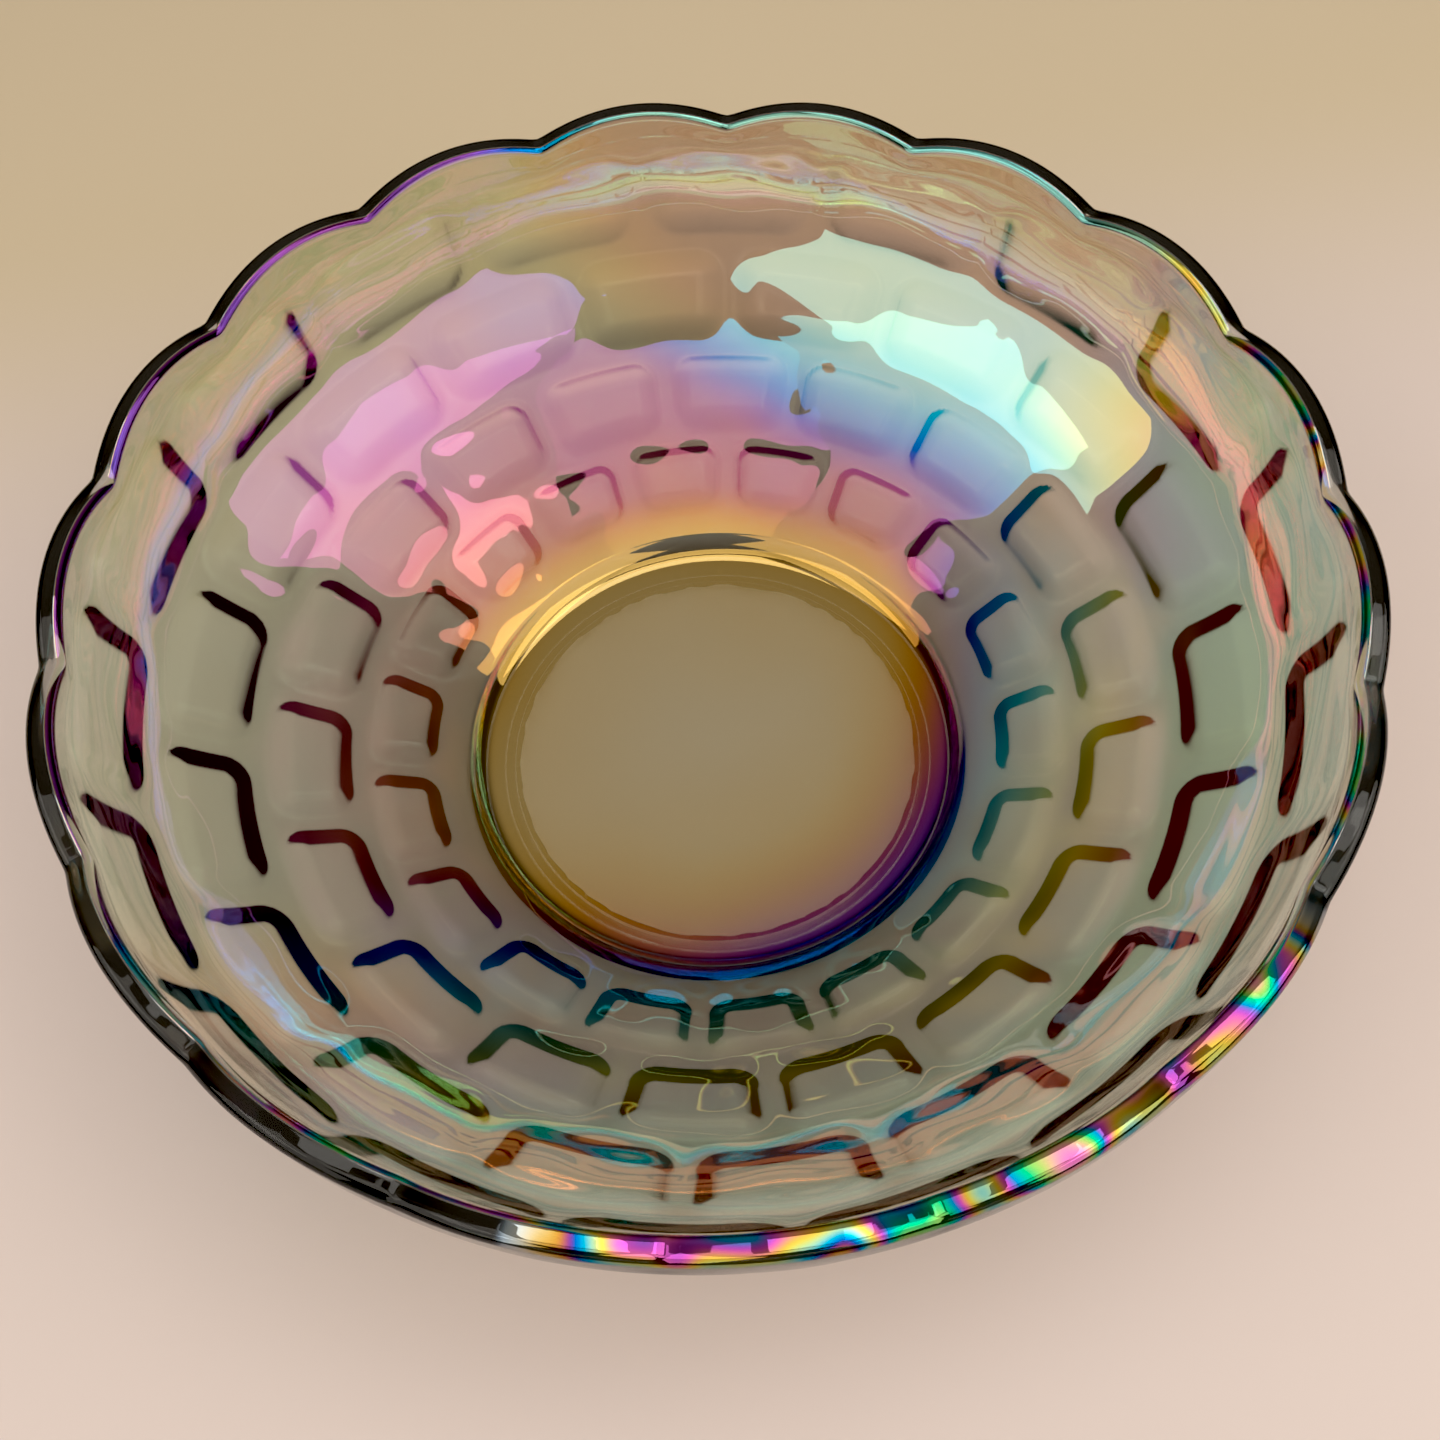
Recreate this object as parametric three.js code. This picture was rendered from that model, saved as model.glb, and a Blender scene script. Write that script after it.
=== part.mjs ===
// Pressed glass fruit bowl with a scalloped rim, staggered rows of thumbprint recesses
// outside, and a fired-on metallic lustre film over the smooth inside.
// Millimetres, +Z up, origin at the middle of the circle that the foot ring rests on.

import * as THREE from 'three';

// ---- Driving dimensions, mm -------------------------------------------------

const RIM_RADIUS = 125; // to the outside of a rim lobe
const BOWL_HEIGHT = 80; // resting face to the top of a rim lobe
const WALL = 5.2; // glass thickness of the side wall
const RIM_ROUNDING = 1.8; // fire-polished edge of the rim

const FOOT_RADIUS = 54.6; // outside of the foot ring, at the resting face
const FOOT_RING_WIDTH = 7; // width of the flat resting face
const FOOT_DRAFT = 1.4; // each side of the foot ring leans out by this much
const FOOT_HEIGHT = 6; // resting face to the underside of the wall
const FOOT_FILLET = 1; // where the foot ring meets the wall
const UNDERSIDE_RECESS = 2.5; // hollow under the floor, inside the foot ring
const FLOOR_THICKNESS = 5.5;
const FLOOR_BLEND = 7; // width of the curve from the flat floor into the wall

const LOBES = 18; // rim lobes, and recesses in each row
const SCALLOP_DROP = 4; // a rim valley lies this far below a lobe's top
const SCALLOP_INSET = 0.8; // and this far inside it
const SCALLOP_REACH = 14; // the scallops fade out this far below the rim

const PRINT_ROWS = 4;
const PRINTS_START = 5; // along the wall, from the foot ring to the first row
const FIRST_PRINT_PITCH = 19; // along the wall, height of the first row and its rib
const RIM_BAND = 6.5; // left plain along the wall, from the top row to the rim
const PRINT_DEPTH = 3;
const LEDGE_SHARE = 0.58; // width of a recess's sloping edge, as a share of half its height
const RIB_WIDTH = 3.5; // left standing between neighbouring recesses
const PRINT_CORNER_SHARE = 0.6; // corner radius as a share of half a recess's height

const FILM = 0.12; // lustre film, drawn thicker than the real micrometre

// ---- Fineness of the facets -------------------------------------------------

// Columns of facets in one lobe, as shares of it: on the ribs and beside them, because each
// row of ribs stands over the middle of the recesses below.
const COLUMN_SHARES = [0, 0.12, 0.38, 0.5, 0.62, 0.88];
const SEGMENTS = LOBES * COLUMN_SHARES.length;
const INNER_STEPS = 12;

// ---- Wall curve ---------------------------------------------------------------

// The wall springs low from the foot ring and turns upright at the shoulder.
const wallStart = new THREE.Vector2(FOOT_RADIUS + FOOT_DRAFT + FOOT_FILLET, FOOT_HEIGHT + FOOT_FILLET);
const wallEnd = new THREE.Vector2(RIM_RADIUS, BOWL_HEIGHT - RIM_ROUNDING);

function betweenEnds(outwardShare, upwardShare) {
  return new THREE.Vector2(
    THREE.MathUtils.lerp(wallStart.x, wallEnd.x, outwardShare),
    THREE.MathUtils.lerp(wallStart.y, wallEnd.y, upwardShare),
  );
}

const wallCurve = new THREE.CubicBezierCurve(
  wallStart,
  betweenEnds(0.515, 0.274),
  betweenEnds(1, 0.425),
  wallEnd,
);
const wallLength = wallCurve.getLength();

// Unit vector out of the glass, square to the wall curve.
function wallNormal(share) {
  const tangent = wallCurve.getTangentAt(share);
  return new THREE.Vector2(tangent.y, -tangent.x);
}

function wallPoint(share, outward) {
  return wallCurve.getPointAt(share).addScaledVector(wallNormal(share), outward);
}

// ---- Rim scallops and thumbprint recesses ---------------------------------------

// Angle of one column of facets, counted from the middle of a lobe.
function columnAngle(column) {
  const lobe = Math.floor(column / COLUMN_SHARES.length) % LOBES;
  return ((lobe + COLUMN_SHARES[column % COLUMN_SHARES.length]) * 2 * Math.PI) / LOBES;
}

// Offset from the nearest lobe's middle, -0.5 to 0.5 of the spacing between lobes.
function lobeOffset(angle, shift) {
  const turns = (angle * LOBES) / (2 * Math.PI) + shift;
  return turns - Math.round(turns);
}

// 0 in the middle of a lobe, 1 in the sharp valley between two lobes.
function valleyShare(angle) {
  return (2 * lobeOffset(angle, 0)) ** 2;
}

// How much of the scallop reaches a given height.
function scallopShare(height) {
  return THREE.MathUtils.smoothstep(height, BOWL_HEIGHT - SCALLOP_REACH, BOWL_HEIGHT);
}

// Rows of recesses from the foot ring up: where each starts along the wall, and its height.
// Each row is taller than the row below by the same amount, so that the rows fill the wall.
const printedLength = wallLength - PRINTS_START - RIM_BAND;
const stepsInAll = (PRINT_ROWS * (PRINT_ROWS - 1)) / 2;
const pitchStep = (printedLength - PRINT_ROWS * FIRST_PRINT_PITCH) / stepsInAll;
const printRows = [];
for (let row = 0, start = PRINTS_START; row < PRINT_ROWS; row += 1) {
  const pitch = FIRST_PRINT_PITCH + row * pitchStep;
  printRows.push({ start, pitch, shift: (PRINT_ROWS - row) / 2 });
  start += pitch;
}

// Distance in from the edge of a recess, whose outline is a rectangle with rounded corners.
function insidePrint(across, along, halfWidth, halfHeight) {
  const corner = PRINT_CORNER_SHARE * halfHeight;
  const pastX = Math.abs(across) - halfWidth + corner;
  const pastY = Math.abs(along) - halfHeight + corner;
  const outsideCorner = Math.hypot(Math.max(pastX, 0), Math.max(pastY, 0));
  return corner - outsideCorner - Math.min(Math.max(pastX, pastY), 0);
}

// Depth of the recesses at one place on the outside. A recess falls steeply from its edge and
// levels out at its floor. Each row is turned by half a lobe from the row below, and the top
// row sits under the valleys of the rim.
function printDepth(distance, radius, angle) {
  const spacing = (2 * Math.PI * radius) / LOBES;
  let depth = 0;
  for (const { start, pitch, shift } of printRows) {
    const along = distance - start - pitch / 2;
    const across = lobeOffset(angle, shift) * spacing;
    const halfHeight = (pitch - RIB_WIDTH) / 2;
    const inside = insidePrint(across, along, (spacing - RIB_WIDTH) / 2, halfHeight);
    const fromFloor = 1 - THREE.MathUtils.clamp(inside / (LEDGE_SHARE * halfHeight), 0, 1);
    depth = Math.max(depth, PRINT_DEPTH * (1 - fromFloor ** 1.5));
  }
  return depth;
}

// ---- Outlines, from the axis outward ---------------------------------------------

// A plain outline point, moved only by the scallops.
function plain(radius, height) {
  return { point: new THREE.Vector2(radius, height) };
}

// An outside wall point, which the recesses push in as well.
function printed(distance) {
  const share = distance / wallLength;
  return { point: wallPoint(share, 0), normal: wallNormal(share), distance };
}

const floorTop = UNDERSIDE_RECESS + FLOOR_THICKNESS;

// Inside surface from the middle of the floor to the rim, moved inward by the given amount.
function insideOutline(inward) {
  const wallFoot = wallPoint(0, -WALL - inward);
  const blendStart = new THREE.Vector2(wallFoot.x - FLOOR_BLEND, floorTop + inward);
  const floorBlend = new THREE.QuadraticBezierCurve(
    blendStart,
    new THREE.Vector2(wallFoot.x - 0.4 * FLOOR_BLEND, blendStart.y),
    wallFoot,
  );
  const outline = [plain(0, blendStart.y), plain(blendStart.x, blendStart.y)];
  for (const share of [0.5, 1]) {
    const point = floorBlend.getPointAt(share);
    outline.push(plain(point.x, point.y));
  }
  for (let step = 1; step <= INNER_STEPS; step += 1) {
    const point = wallPoint(step / INNER_STEPS, -WALL - inward);
    outline.push(plain(point.x, point.y));
  }
  return outline;
}

function rimOutline() {
  const inner = wallPoint(1, -WALL + RIM_ROUNDING);
  const outer = wallPoint(1, -RIM_ROUNDING);
  return [plain(inner.x, BOWL_HEIGHT), plain(outer.x, BOWL_HEIGHT)];
}

// Outside wall from the rim down to the foot ring, with a ring of points at both ends of every
// recess, one where each sloping edge levels out and one across the middle.
function outsideOutline() {
  const distances = [0];
  for (const { start, pitch } of printRows) {
    const middle = start + pitch / 2;
    const halfHeight = (pitch - RIB_WIDTH) / 2;
    const level = (1 - LEDGE_SHARE) * halfHeight;
    distances.push(middle - halfHeight, middle - level, middle, middle + level, middle + halfHeight);
  }
  distances.push(wallLength);
  return distances.reverse().map(printed);
}

function footOutline() {
  const ringInside = FOOT_RADIUS - FOOT_RING_WIDTH;
  return [
    plain(FOOT_RADIUS + FOOT_DRAFT, FOOT_HEIGHT),
    plain(FOOT_RADIUS, 0),
    plain(ringInside, 0),
    plain(ringInside - FOOT_DRAFT, UNDERSIDE_RECESS),
    plain(0, UNDERSIDE_RECESS),
  ];
}

// ---- Solids -------------------------------------------------------------------------

function placed(entry, angle) {
  const radial = entry.point.clone();
  if (entry.normal) {
    const depth = printDepth(entry.distance, radial.x, angle);
    radial.addScaledVector(entry.normal, -depth);
  }
  const share = scallopShare(entry.point.y) * valleyShare(angle);
  radial.x -= SCALLOP_INSET * share;
  radial.y -= SCALLOP_DROP * share;
  return radial;
}

// Facets for a turned outline. Each four-sided patch is split from its lower, inner corner, so
// that a surface shared by two solids has the same facets in both.
function matchingFacets(outline) {
  const rows = outline.length;
  const facets = [];
  for (let column = 0; column < SEGMENTS; column += 1) {
    for (let row = 0; row < rows - 1; row += 1) {
      const near = column * rows + row;
      const far = near + rows;
      const here = outline[row].point;
      const next = outline[row + 1].point;
      if (next.x + next.y > here.x + here.y) {
        facets.push(near, far, far + 1, near, far + 1, near + 1);
      } else {
        facets.push(near, far, near + 1, far + 1, near + 1, far);
      }
    }
  }
  return facets;
}

// Turns an outline about the axis, then moves every point to its place on the scalloped,
// thumbprinted surface.
function turned(outline) {
  const geometry = new THREE.LatheGeometry(outline.map((entry) => entry.point), SEGMENTS);
  const position = geometry.attributes.position;
  for (let column = 0; column <= SEGMENTS; column += 1) {
    const angle = columnAngle(column);
    outline.forEach((entry, row) => {
      const radial = placed(entry, angle);
      const x = radial.x * Math.sin(angle);
      const y = -radial.x * Math.cos(angle);
      position.setXYZ(column * outline.length + row, x, y, radial.y);
    });
  }
  geometry.setIndex(matchingFacets(outline));
  geometry.computeVertexNormals();
  return geometry;
}

function glassBowl() {
  const outline = [...insideOutline(0), ...rimOutline(), ...outsideOutline(), ...footOutline()];
  const material = new THREE.MeshStandardMaterial({ color: 0x8f9a8c, roughness: 0.05, metalness: 0 });
  const mesh = new THREE.Mesh(turned(outline.reverse()), material);
  mesh.name = 'glass_bowl';
  return mesh;
}

// The film lies on the glass over the whole inside and stops at the rim's inner edge.
function innerLustreFilm() {
  const outline = [...insideOutline(FILM), ...insideOutline(0).reverse()];
  const material = new THREE.MeshStandardMaterial({ color: 0xc7a6b8, roughness: 0.15, metalness: 0.8 });
  const mesh = new THREE.Mesh(turned(outline.reverse()), material);
  mesh.name = 'inner_lustre_film';
  return mesh;
}

const bowl = new THREE.Group();
bowl.add(glassBowl(), innerLustreFilm());

export default bowl;
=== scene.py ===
import math

import bpy
import numpy as np
from mathutils import Matrix, Vector


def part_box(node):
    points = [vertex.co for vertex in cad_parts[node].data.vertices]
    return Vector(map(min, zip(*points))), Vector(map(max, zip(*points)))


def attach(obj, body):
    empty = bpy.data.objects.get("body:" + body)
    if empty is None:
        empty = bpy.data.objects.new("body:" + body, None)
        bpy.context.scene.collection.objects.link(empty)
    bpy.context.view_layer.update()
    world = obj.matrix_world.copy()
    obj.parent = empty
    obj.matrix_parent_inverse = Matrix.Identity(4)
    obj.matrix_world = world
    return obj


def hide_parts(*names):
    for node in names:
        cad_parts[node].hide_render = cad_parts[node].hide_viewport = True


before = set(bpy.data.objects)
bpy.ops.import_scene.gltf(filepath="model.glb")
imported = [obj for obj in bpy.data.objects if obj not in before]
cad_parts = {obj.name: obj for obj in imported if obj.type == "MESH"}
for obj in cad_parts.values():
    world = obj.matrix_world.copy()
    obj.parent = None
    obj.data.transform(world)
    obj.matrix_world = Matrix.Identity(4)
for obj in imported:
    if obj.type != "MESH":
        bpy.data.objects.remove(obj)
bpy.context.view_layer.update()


# ---- Pressed glass bowl ---------------------------------------------------------
# One gather of smoke-tinted soda-lime glass, pressed in an iron mould: floor, foot ring, wall
# and rim are a single piece. The mould cut the thumbprint recesses, the plunger left the
# inside smooth, and the rim was fire-polished while the glass was hot.

MM = 0.001

glass_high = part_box("glass_bowl")[1]
rim_radius = glass_high.y / MM
bowl_height = glass_high.z / MM
wall = 5.2
rim_rounding = 1.8

foot_radius = 54.6
foot_ring_width = 7.0
foot_draft = 1.4
foot_height = 6.0
foot_fillet = 1.0
underside_recess = 2.5
floor_thickness = 5.5
floor_blend = 7.0

lobes = 18
scallop_drop = 4.0
scallop_inset = 0.8
scallop_reach = 14.0
valley_rounding = 0.07

print_rows = 4
prints_start = 5.0
first_print_pitch = 19.0
rim_band = 6.5
rib_width = 3.5
rib_rounding = 0.5
print_corner_share = 0.6
print_depth = 3.0
ledge_share = 0.58

seam_below_rim = 4.6
seam_height = 0.10
rib_sink = 0.17
long_ripple = 0.10
short_ripple = 0.06
hammer_depth = 0.035

columns_per_lobe = 32
ring_spacing = 0.55


def smoothstep(value, low, high):
    share = np.clip((value - low) / (high - low), 0.0, 1.0)
    return share * share * (3.0 - 2.0 * share)


def cubic_curve(p0, p1, p2, p3, count=4001):
    """Points of a cubic curve, evenly spaced along its length, with the length."""
    t = np.linspace(0.0, 1.0, count)[:, None]
    points = (
        (1 - t) ** 3 * p0 + 3 * (1 - t) ** 2 * t * p1 + 3 * (1 - t) * t**2 * p2 + t**3 * p3
    )
    steps = np.hypot(*np.diff(points, axis=0).T)
    run = np.concatenate([[0.0], np.cumsum(steps)])
    even = np.linspace(0.0, run[-1], count)
    return np.stack([np.interp(even, run, points[:, i]) for i in (0, 1)], 1), run[-1]


wall_start = np.array([foot_radius + foot_draft + foot_fillet, foot_height + foot_fillet])
wall_end = np.array([rim_radius, bowl_height - rim_rounding])
wall_span = wall_end - wall_start
wall_curve, wall_length = cubic_curve(
    wall_start,
    wall_start + wall_span * (0.515, 0.274),
    wall_start + wall_span * (1.0, 0.425),
    wall_end,
)
wall_run = np.linspace(0.0, wall_length, len(wall_curve))
wall_tangent = np.gradient(wall_curve, wall_run, axis=0)
wall_tangent /= np.hypot(*wall_tangent.T)[:, None]


def wall_at(distance):
    """Points and outward normals of the wall curve at these distances from its foot."""
    point = np.stack([np.interp(distance, wall_run, wall_curve[:, i]) for i in (0, 1)], 1)
    along = np.stack([np.interp(distance, wall_run, wall_tangent[:, i]) for i in (0, 1)], 1)
    return point, np.stack([along[:, 1], -along[:, 0]], 1)


def even_steps(length, spacing=ring_spacing):
    return np.linspace(0.0, length, max(2, int(round(length / spacing)) + 1))


def arc(centre, radius, first, last, count=7):
    """Points of an arc, angles in degrees from the outward direction, turning upward."""
    angle = np.radians(np.linspace(first, last, count))
    return np.stack([centre[0] + radius * np.cos(angle), centre[1] + radius * np.sin(angle)], 1)


def straight(start, end, spacing=1.5):
    start, end = np.array(start, float), np.array(end, float)
    steps = max(2, int(round(np.hypot(*(end - start)) / spacing)) + 1)
    return start + np.linspace(0.0, 1.0, steps)[:, None] * (end - start)


# The outline runs from the middle of the underside, out round the foot ring, up the outside,
# over the rim and down the inside to the middle of the floor.
ring_inner = foot_radius - foot_ring_width
edge = 0.8
under_outline = np.concatenate([
    straight((0.5, underside_recess), (ring_inner - foot_draft - edge, underside_recess)),
    arc((ring_inner - foot_draft - edge, underside_recess - edge), edge, 90, 30, 5),
    arc((ring_inner + edge, edge), edge, 210, 270, 5),
    straight((ring_inner + 1.2 * edge, 0.0), (foot_radius - 1.2 * edge, 0.0)),
    arc((foot_radius - edge, edge), edge, -90, -10, 6),
    straight((foot_radius + 0.1, edge + 0.3), (foot_radius + foot_draft - 0.1, foot_height - 0.8)),
])
outside_run = even_steps(wall_length)
outside_point, outside_normal = wall_at(outside_run)
rim_width = wall - 2 * rim_rounding
rim_outer = np.array([rim_radius - rim_rounding, bowl_height - rim_rounding])
rim_inner = rim_outer - (rim_width, 0.0)
rim_outline = np.concatenate([
    arc(rim_outer, rim_rounding, 10, 90, 9),
    straight(rim_outer + (-0.3, rim_rounding), rim_inner + (0.3, rim_rounding), 0.5),
    arc(rim_inner, rim_rounding, 90, 170, 9),
])
seam_run = wall_length - seam_below_rim
inside_run = even_steps(wall_length)
inside_run = inside_run[np.abs(inside_run - seam_run) > 0.9]
inside_run = np.sort(np.append(inside_run, seam_run + np.linspace(-0.8, 0.8, 9)))[::-1]
inside_point, inside_normal = wall_at(inside_run)
inside_point = inside_point - wall * inside_normal
floor_top = underside_recess + floor_thickness
blend_end = inside_point[-1]
blend_start = np.array([blend_end[0] - floor_blend, floor_top])
blend_middle = np.array([blend_end[0] - 0.4 * floor_blend, floor_top])
t = np.linspace(0.0, 1.0, 14)[1:, None]
floor_curve = (1 - t) ** 2 * blend_end + 2 * (1 - t) * t * blend_middle + t**2 * blend_start
floor_outline = np.concatenate([
    floor_curve,
    straight(blend_start - (1.0, 0.0), (0.5, floor_top)),
])

outline = np.concatenate(
    [under_outline, outside_point, rim_outline, inside_point, floor_outline]
)
part_lengths = [len(p) for p in (under_outline, outside_point, rim_outline, inside_point)]
outside_first, rim_first, inside_first, floor_first = np.cumsum(part_lengths)

columns = lobes * columns_per_lobe
turn = np.arange(columns) / columns * 2 * math.pi


def lobe_offset(angle, shift):
    turns = angle * lobes / (2 * math.pi) + shift
    return turns - np.round(turns)


def valley_share(angle):
    """0 in the middle of a rim lobe, 1 in the slightly rounded valley between two."""
    crest = 1.0 - (2.0 * lobe_offset(angle, 0.0)) ** 2
    crest = np.sqrt(crest**2 + valley_rounding**2) - valley_rounding * (1.0 - crest)
    return 1.0 - crest


printed_length = wall_length - prints_start - rim_band
pitch_step = (printed_length - print_rows * first_print_pitch) / (
    print_rows * (print_rows - 1) / 2
)
rows, row_start = [], prints_start
for row in range(print_rows):
    pitch = first_print_pitch + row * pitch_step
    rows.append((row_start, pitch, (print_rows - row) / 2))
    row_start += pitch


def print_shape(distance, radius, angle):
    """Depth of the recesses, and distance in from the edge of the nearest one. Each falls
    steeply from its edge and levels out at its floor."""
    spacing = 2 * math.pi * radius / lobes
    shape = np.broadcast(distance, radius, angle).shape
    depth, nearest = np.zeros(shape), np.full(shape, -rib_width)
    for start, pitch, shift in rows:
        half_width = (spacing - rib_width) / 2
        half_height = (pitch - rib_width) / 2
        corner = print_corner_share * half_height
        past_x = np.abs(lobe_offset(angle, shift)) * spacing - half_width + corner
        past_y = np.abs(distance - start - pitch / 2) - half_height + corner
        outside_corner = np.hypot(np.maximum(past_x, 0), np.maximum(past_y, 0))
        inside = corner - outside_corner - np.minimum(np.maximum(past_x, past_y), 0)
        soft = (inside + np.sqrt(inside**2 + rib_rounding**2)) / 2
        from_floor = 1 - np.clip(soft / (ledge_share * half_height), 0, 1)
        depth = np.maximum(depth, print_depth * (1 - from_floor**1.5))
        nearest = np.maximum(nearest, inside)
    return depth, nearest


radius = np.repeat(outline[:, :1], columns, 1)
height = np.repeat(outline[:, 1:], columns, 1)
angle = np.repeat(turn[None], len(outline), 0)

on_wall = slice(outside_first, rim_first)
depth = print_shape(outside_run[:, None], outside_point[:, :1], turn[None])[0]
radius[on_wall] -= depth * outside_normal[:, :1]
height[on_wall] -= depth * outside_normal[:, 1:]

# The inside sank a little as the glass cooled, most over the ribs, where the glass is
# thickest, and two faint ripples cross it.
on_inside = slice(inside_first, floor_first)
opposite_radius = wall_at(inside_run)[0][:, :1]
opposite = print_shape(inside_run[:, None], opposite_radius, turn[None])[1]
sink = rib_sink * smoothstep(-opposite, -5.0, 2.0)
long_wave = np.sin(inside_run[:, None] / 7.0 + 1.3 * np.sin(turn[None] * 3.0))
sink += long_ripple * long_wave * np.sin(turn[None] * 11.0 + inside_run[:, None] / 19.0)
short_wave = np.sin(inside_run[:, None] / 4.1 + 2.1 * np.sin(turn[None] * 5.0 + 1.0))
sink += short_ripple * short_wave * np.sin(turn[None] * 23.0 - inside_run[:, None] / 13.0)
sink *= smoothstep(inside_run, 0.0, 12.0)[:, None] * smoothstep(
    -inside_run, -wall_length, -wall_length + 8.0
)[:, None]

# The plunger met the ring of the mould just below the rim, and left a fine broken seam.
broken = smoothstep(
    np.sin(turn * 41.0) + np.sin(turn * 67.0 + 2.0) + 0.8 * np.sin(turn * 113.0), -0.9, 0.3
)
seam = seam_height * np.clip(1 - np.abs(inside_run[:, None] - seam_run) / 0.35, 0, 1)
sink -= seam * broken[None]
radius[on_inside] += sink * inside_normal[:, :1]
height[on_inside] += sink * inside_normal[:, 1:]

# The underside was left as the mould's hammered iron gave it.
under = slice(0, outside_first)
across, away = radius[under] * np.sin(angle[under]), radius[under] * np.cos(angle[under])
hammered = np.sin(across / 1.9 + 1.4 * np.sin(away / 4.3)) * np.sin(
    away / 2.3 + 1.7 * np.sin(across / 5.1)
)
height[under] += hammer_depth * hammered * (height[under] > 0.9 * underside_recess) * (
    radius[under] < ring_inner - 3.0
)

scallop = smoothstep(outline[:, 1:], bowl_height - scallop_reach, bowl_height)
scallop = scallop * valley_share(angle)
radius -= scallop_inset * scallop
height -= scallop_drop * scallop

rings = np.stack([radius * np.sin(angle), -radius * np.cos(angle), height], 2)
vertices = np.concatenate([
    rings.reshape(-1, 3),
    [[0.0, 0.0, underside_recess], [0.0, 0.0, floor_top]],
])
ring = np.arange(len(outline) - 1)[:, None] * columns
here = np.arange(columns)[None]
after = (here + 1) % columns
quads = np.stack(
    [ring + here, ring + after, ring + columns + after, ring + columns + here], 2
).reshape(-1, 4)
under_middle, floor_middle = len(vertices) - 2, len(vertices) - 1
last_ring = (len(outline) - 1) * columns
around = np.arange(columns)
fans = [(under_middle, int(b), int(a)) for a, b in zip(around, (around + 1) % columns)]
fans += [
    (floor_middle, int(last_ring + a), int(last_ring + b))
    for a, b in zip(around, (around + 1) % columns)
]

bowl_mesh = bpy.data.meshes.new("pressed_glass_bowl")
bowl_mesh.from_pydata((vertices * MM).tolist(), [], quads.tolist() + fans)
bowl_mesh.validate()
bowl_mesh.polygons.foreach_set("use_smooth", np.ones(len(bowl_mesh.polygons), bool))


def vertex_value(mesh, name, rows_values, pole_values):
    """Stores one number at each vertex, from rows of rings and the two middle points."""
    values = np.concatenate([rows_values.reshape(-1), pole_values]).astype(np.float32)
    attribute = mesh.attributes.new(name, "FLOAT", "POINT")
    attribute.data.foreach_set("value", values)


# The film stops just inside the rim's flat top, but on the side that was sprayed it ran over
# the rim. It is uneven close to the rim.
film_edge = rim_first + 14
sprayed_turn = 0.24
over_rim = smoothstep(np.cos(turn - sprayed_turn), 0.80, 0.90)
inner_side = np.zeros_like(radius)
inner_side[rim_first:] = over_rim
inner_side[film_edge:] = 1.0
at_rim = smoothstep(outline[:, 1:], bowl_height - 7.0, bowl_height - 1.0) * np.ones(columns)
vertex_value(bowl_mesh, "inner_side", inner_side, [0.0, 1.0])
vertex_value(bowl_mesh, "at_rim", at_rim, [0.0, 0.0])

bowl = bpy.data.objects.new("pressed_glass_bowl", bowl_mesh)
bpy.context.scene.collection.objects.link(bowl)


def linear(hex_colour):
    """An sRGB hex colour as linear red, green, blue and 1."""
    parts = [int(hex_colour[i:i + 2], 16) / 255 for i in (1, 3, 5)]
    return tuple(
        c / 12.92 if c <= 0.04045 else ((c + 0.055) / 1.055) ** 2.4 for c in parts
    ) + (1.0,)


def add_node(tree, kind, settings=None, links=None):
    """Adds a node, sets its properties and input values, and links its inputs."""
    node = tree.nodes.new(kind)
    for name, value in (settings or {}).items():
        if isinstance(name, str) and hasattr(node, name):
            setattr(node, name, value)
        else:
            node.inputs[name].default_value = value
    for name, source in (links or {}).items():
        tree.links.new(source, node.inputs[name])
    return node


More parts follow.
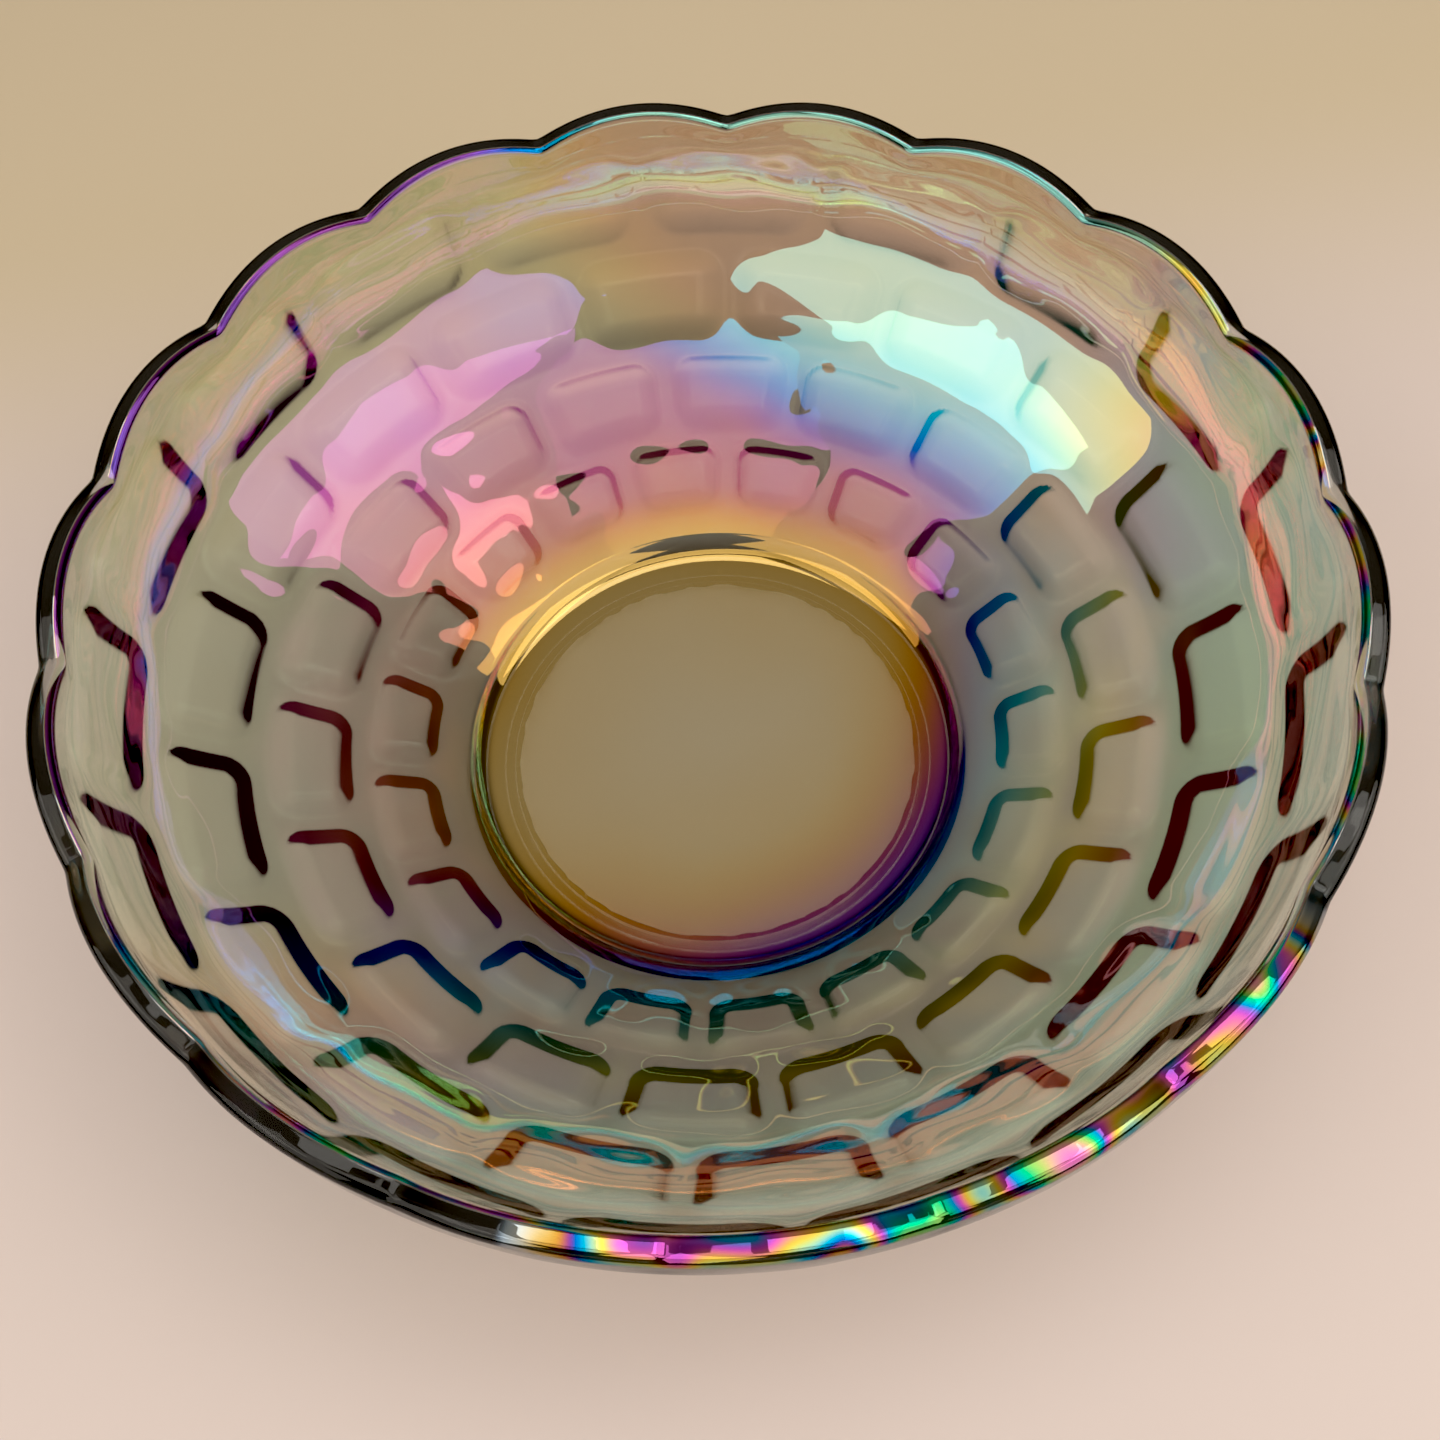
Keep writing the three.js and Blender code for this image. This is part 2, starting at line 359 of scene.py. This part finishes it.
def lustred_smoke_glass():
    """Fire-polished soda-lime glass with a fired-on metal oxide film: clear and smoky to see
    through, darker where the glass is deep, with colours that swim over the highlights. The
    film's thicknesses are in nanometres."""
    floor_nm, drift_nm = 59.0, 14.0
    outward_nm_per_m = 190.0
    past_floor_nm, sprayed_nm, patch_nm, streaks_nm = 16.0, 95.0, 41.0, 230.0
    glass_index, film_index = 1.52, 2.6
    material = bpy.data.materials.new("lustred_smoke_glass")
    material.use_nodes = True
    tree = material.node_tree
    tree.nodes.clear()
    output = add_node(tree, "ShaderNodeOutputMaterial")
    place = add_node(tree, "ShaderNodeTexCoord").outputs["Object"]
    inner = add_node(tree, "ShaderNodeAttribute", {"attribute_name": "inner_side"}).outputs["Fac"]
    flat = add_node(
        tree, "ShaderNodeVectorMath", {"operation": "MULTIPLY", 1: (1, 1, 0)}, {0: place}
    ).outputs[0]
    reach = add_node(
        tree, "ShaderNodeVectorMath", {"operation": "LENGTH"}, {0: flat}
    ).outputs["Value"]

    # The film is thinnest in the middle of the floor and thickens outward, with a slow drift.
    drift = add_node(
        tree, "ShaderNodeTexNoise",
        {"Scale": 18.0, "Detail": 2.0, "Roughness": 0.5}, {"Vector": place},
    ).outputs["Fac"]
    film = add_node(
        tree, "ShaderNodeMath",
        {"operation": "MULTIPLY_ADD", 1: drift_nm, 2: floor_nm}, {0: drift},
    ).outputs[0]
    film = add_node(
        tree, "ShaderNodeMath",
        {"operation": "MULTIPLY_ADD", 1: outward_nm_per_m}, {0: reach, 2: film},
    ).outputs[0]
    past_floor = add_node(
        tree, "ShaderNodeMapRange",
        {"interpolation_type": "SMOOTHSTEP", "From Min": 0.048, "From Max": 0.066,
         "To Max": past_floor_nm},
        {"Value": reach},
    ).outputs[0]
    film = add_node(
        tree, "ShaderNodeMath", {"operation": "ADD"}, {0: film, 1: past_floor}
    ).outputs[0]

    # The spray came from one side, so that side's wall has the thickest film.
    up_the_wall = add_node(
        tree, "ShaderNodeMapRange",
        {"From Min": 0.025, "From Max": 0.095, "To Max": sprayed_nm}, {"Value": reach},
    ).outputs[0]
    toward_spray = add_node(
        tree, "ShaderNodeVectorMath", {"operation": "DOT_PRODUCT", 1: (0.5, -0.866, 0)},
        {0: flat},
    ).outputs["Value"]
    sprayed = add_node(
        tree, "ShaderNodeMapRange",
        {"interpolation_type": "SMOOTHSTEP", "From Min": -0.025, "From Max": 0.07},
        {"Value": toward_spray},
    ).outputs[0]
    film = add_node(
        tree, "ShaderNodeMath", {"operation": "MULTIPLY_ADD"},
        {0: up_the_wall, 1: sprayed, 2: film},
    ).outputs[0]

    # A second, smaller patch of spray.
    toward_patch = add_node(
        tree, "ShaderNodeVectorMath", {"operation": "DOT_PRODUCT", 1: (0.6, 0.8, 0)},
        {0: flat},
    ).outputs["Value"]
    patch = add_node(
        tree, "ShaderNodeMapRange",
        {"interpolation_type": "SMOOTHSTEP", "From Min": 0.068, "From Max": 0.10,
         "To Max": patch_nm},
        {"Value": toward_patch},
    ).outputs[0]
    film = add_node(
        tree, "ShaderNodeMath", {"operation": "ADD"}, {0: film, 1: patch}
    ).outputs[0]

    # Close to the rim, on the sprayed side, it ran and gathered in streaks.
    streaks = add_node(
        tree, "ShaderNodeTexNoise",
        {"Scale": 60.0, "Detail": 1.0, "Roughness": 0.5}, {"Vector": place},
    ).outputs["Fac"]
    streaks = add_node(
        tree, "ShaderNodeMapRange", {"To Min": -streaks_nm, "To Max": streaks_nm},
        {"Value": streaks},
    ).outputs[0]
    at_rim = add_node(tree, "ShaderNodeAttribute", {"attribute_name": "at_rim"}).outputs["Fac"]
    at_rim = add_node(
        tree, "ShaderNodeMath", {"operation": "MULTIPLY"}, {0: at_rim, 1: sprayed}
    ).outputs[0]
    film = add_node(
        tree, "ShaderNodeMath", {"operation": "MULTIPLY_ADD"}, {0: streaks, 1: at_rim, 2: film}
    ).outputs[0]
    film = add_node(
        tree, "ShaderNodeMath", {"operation": "MULTIPLY"}, {0: film, 1: inner}
    ).outputs[0]

    stain = add_node(
        tree, "ShaderNodeMix",
        {"data_type": "RGBA", 6: linear("#FFFFFF"), 7: linear("#E6E2C8")}, {0: inner},
    ).outputs[2]
    surface = add_node(
        tree, "ShaderNodeBsdfPrincipled",
        {
            "Roughness": 0.02,
            "IOR": glass_index,
            "Transmission Weight": 1.0,
            "Thin Film IOR": film_index,
        },
        {"Base Color": stain, "Thin Film Thickness": film},
    ).outputs[0]

    # Light that meets a surface from within at a slant is trapped, as in the real glass. There a
    # near-black diffuse is mixed in as painted shade, which darkens the marks along the thumbprint
    # ledges further.
    slant = add_node(tree, "ShaderNodeLayerWeight", {"Blend": 0.5}).outputs["Facing"]
    trapped = add_node(
        tree, "ShaderNodeMapRange",
        {"interpolation_type": "SMOOTHSTEP", "From Min": 0.19, "From Max": 0.29,
         "To Max": 0.93},
        {"Value": slant},
    ).outputs[0]
    from_within = add_node(tree, "ShaderNodeNewGeometry").outputs["Backfacing"]
    painted_shade_share = add_node(
        tree, "ShaderNodeMath", {"operation": "MULTIPLY"}, {0: trapped, 1: from_within}
    ).outputs[0]
    # Near-black painted shade for the dark marks along the print ledges.
    oxide = add_node(tree, "ShaderNodeBsdfDiffuse", {"Color": linear("#0A0708")}).outputs[0]
    glass_with_painted_shade = add_node(
        tree, "ShaderNodeMixShader", links={0: painted_shade_share, 1: surface, 2: oxide}
    ).outputs[0]
    depth_tint = add_node(
        tree, "ShaderNodeVolumeAbsorption", {"Color": linear("#86957F"), "Density": 38.0}
    ).outputs[0]
    tree.links.new(glass_with_painted_shade, output.inputs["Surface"])
    tree.links.new(depth_tint, output.inputs["Volume"])
    return material


bowl_mesh.materials.append(lustred_smoke_glass())
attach(bowl, "root")
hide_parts("glass_bowl", "inner_lustre_film")


# ---- Table ----------------------------------------------------------------------------
# A plain pale painted top, far wider than the glass, so that every side of the bowl has
# something plain behind it.

table_rings = [0.0, 0.1, 0.2, 0.4, 0.8, 1.6, 4.0]
table_turns = 96
table_points = [
    (r * math.cos(a), r * math.sin(a), 0.0)
    for r in table_rings
    for a in np.linspace(0, 2 * math.pi, table_turns, endpoint=False)
]
table_faces = [
    (
        j * table_turns + i, (j + 1) * table_turns + i,
        (j + 1) * table_turns + (i + 1) % table_turns, j * table_turns + (i + 1) % table_turns,
    )
    for j in range(len(table_rings) - 1)
    for i in range(table_turns)
]
table_mesh = bpy.data.meshes.new("table")
table_mesh.from_pydata(table_points, [], table_faces)
table_mesh.validate()
table = bpy.data.objects.new("table", table_mesh)
bpy.context.scene.collection.objects.link(table)


def satin_paint():
    """Satin oil paint on board: pale and nearly even, with a soft sheen. Toward the back it turns
    warmer and darker, and the darkening is painted shade for the bowl's shadow there."""
    material = bpy.data.materials.new("satin_paint")
    material.use_nodes = True
    tree = material.node_tree
    surface = tree.nodes["Principled BSDF"]
    place = add_node(tree, "ShaderNodeTexCoord").outputs["Object"]
    # Toward the back the paint turns a warmer, darker beige: painted shade for the bowl's shadow
    # behind it.
    back = add_node(
        tree, "ShaderNodeMapRange",
        {"interpolation_type": "SMOOTHSTEP", "From Min": 0.06, "From Max": 0.20},
        {"Value": add_node(tree, "ShaderNodeSeparateXYZ", links={0: place}).outputs["Y"]},
    ).outputs[0]
    paint = add_node(
        tree, "ShaderNodeMix",
        {"data_type": "RGBA", 6: linear("#E8D9D5"), 7: linear("#DDCCB0")}, {0: back},
    ).outputs[2]
    tree.links.new(paint, surface.inputs["Base Color"])
    surface.inputs["Roughness"].default_value = 0.55
    return material


table_mesh.materials.append(satin_paint())


# ---- Camera ---------------------------------------------------------------------------
# It looks steeply down into the bowl from close by, tipped a little to one side.

camera_data = bpy.data.cameras.new("camera")
camera_data.lens = 40.0
camera_data.sensor_width = 36.0
camera = bpy.data.objects.new("camera", camera_data)
bpy.context.scene.collection.objects.link(camera)
bpy.context.scene.camera = camera
swing = Matrix.Rotation(math.radians(-2.913), 3, "Z")
tilt_down, look_aside, tip = math.radians(61.46), math.radians(0.45), math.radians(-4.82)
forward = swing @ Vector((
    math.sin(look_aside) * math.cos(tilt_down),
    math.cos(look_aside) * math.cos(tilt_down),
    -math.sin(tilt_down),
))
level = forward.cross(Vector((0, 0, 1))).normalized()
upright = level.cross(forward)
right = level * math.cos(tip) + upright * math.sin(tip)
up = upright * math.cos(tip) - level * math.sin(tip)
camera.matrix_world = Matrix((
    (right.x, up.x, -forward.x, 0), (right.y, up.y, -forward.y, 0),
    (right.z, up.z, -forward.z, 0), (0, 0, 0, 1),
))
camera.location = swing @ Vector((0.0, -0.167, 0.326))


# ---- Lights ---------------------------------------------------------------------------
# Two wide softboxes lean in behind the viewer's shoulders and four hang level above. They
# light the table, and the curved inside of the glass shows them as bands of colour. The room
# gives the glass a dim glow from above, and shows as an even pale backdrop.

def softbox(name, place, size, radiance, colour, leaning=False):
    """An area light that shines straight down, or leans to face the bowl. Its power follows
    from its size and radiance."""
    data = bpy.data.lights.new(name, "AREA")
    data.shape = "RECTANGLE"
    data.size, data.size_y = size
    data.energy = radiance * math.pi * size[0] * size[1]
    data.color = linear(colour)[:3]
    light = bpy.data.objects.new(name, data)
    bpy.context.scene.collection.objects.link(light)
    light.location = place
    if leaning:
        light.rotation_mode = "QUATERNION"
        light.rotation_quaternion = (-Vector(place)).to_track_quat("-Z", "Y")
    light.visible_camera = False


softbox("softbox_right", (0.79, -0.49, 0.80), (1.4, 0.9), 1.35, "#FFF8EE", leaning=True)
softbox("softbox_left", (-0.85, -0.42, 0.76), (1.4, 0.9), 1.15, "#FFF8EE", leaning=True)
softbox("softbox_above", (0.0, -0.38, 1.16), (0.66, 0.36), 1.4, "#FFF8EE")
softbox("softbox_above_right", (0.815, -0.25, 1.16), (0.97, 0.8), 1.2, "#FFF8EE")
softbox("softbox_above_left", (-0.815, -0.22, 1.16), (0.97, 0.8), 1.1, "#FFF8EE")
softbox("softbox_overhead", (0.17, 0.07, 1.12), (0.74, 0.40), 1.8, "#FFFCF6")

world = bpy.data.worlds.new("room")
world.use_nodes = True
sky = world.node_tree
toward = add_node(sky, "ShaderNodeTexCoord").outputs["Generated"]
ahead = add_node(
    sky, "ShaderNodeVectorMath", {"operation": "DOT_PRODUCT", 1: (0.0, 0.45, 0.89)}, {0: toward}
).outputs["Value"]
glow = add_node(
    sky, "ShaderNodeMapRange",
    {"interpolation_type": "SMOOTHSTEP", "From Min": 0.62, "From Max": 0.95,
     "To Min": 0.10, "To Max": 0.60},
    {"Value": ahead},
).outputs[0]
room_light = sky.nodes["Background"]
room_light.inputs["Color"].default_value = linear("#F3E6D2")
sky.links.new(glow, room_light.inputs["Strength"])
backdrop = add_node(
    sky, "ShaderNodeBackground", {"Color": linear("#E2D8CC"), "Strength": 0.8}
).outputs[0]
seen_direct = add_node(sky, "ShaderNodeLightPath").outputs["Is Camera Ray"]
either = add_node(
    sky, "ShaderNodeMixShader", links={0: seen_direct, 1: room_light.outputs[0], 2: backdrop}
).outputs[0]
sky.links.new(either, sky.nodes["World Output"].inputs["Surface"])
bpy.context.scene.world = world

# A slightly raised black point deepens the darkest glass.
picture = bpy.context.scene.view_settings
picture.view_transform = "Standard"
picture.use_curve_mapping = True
picture.curve_mapping.black_level = (0.015, 0.015, 0.015)
picture.curve_mapping.update()
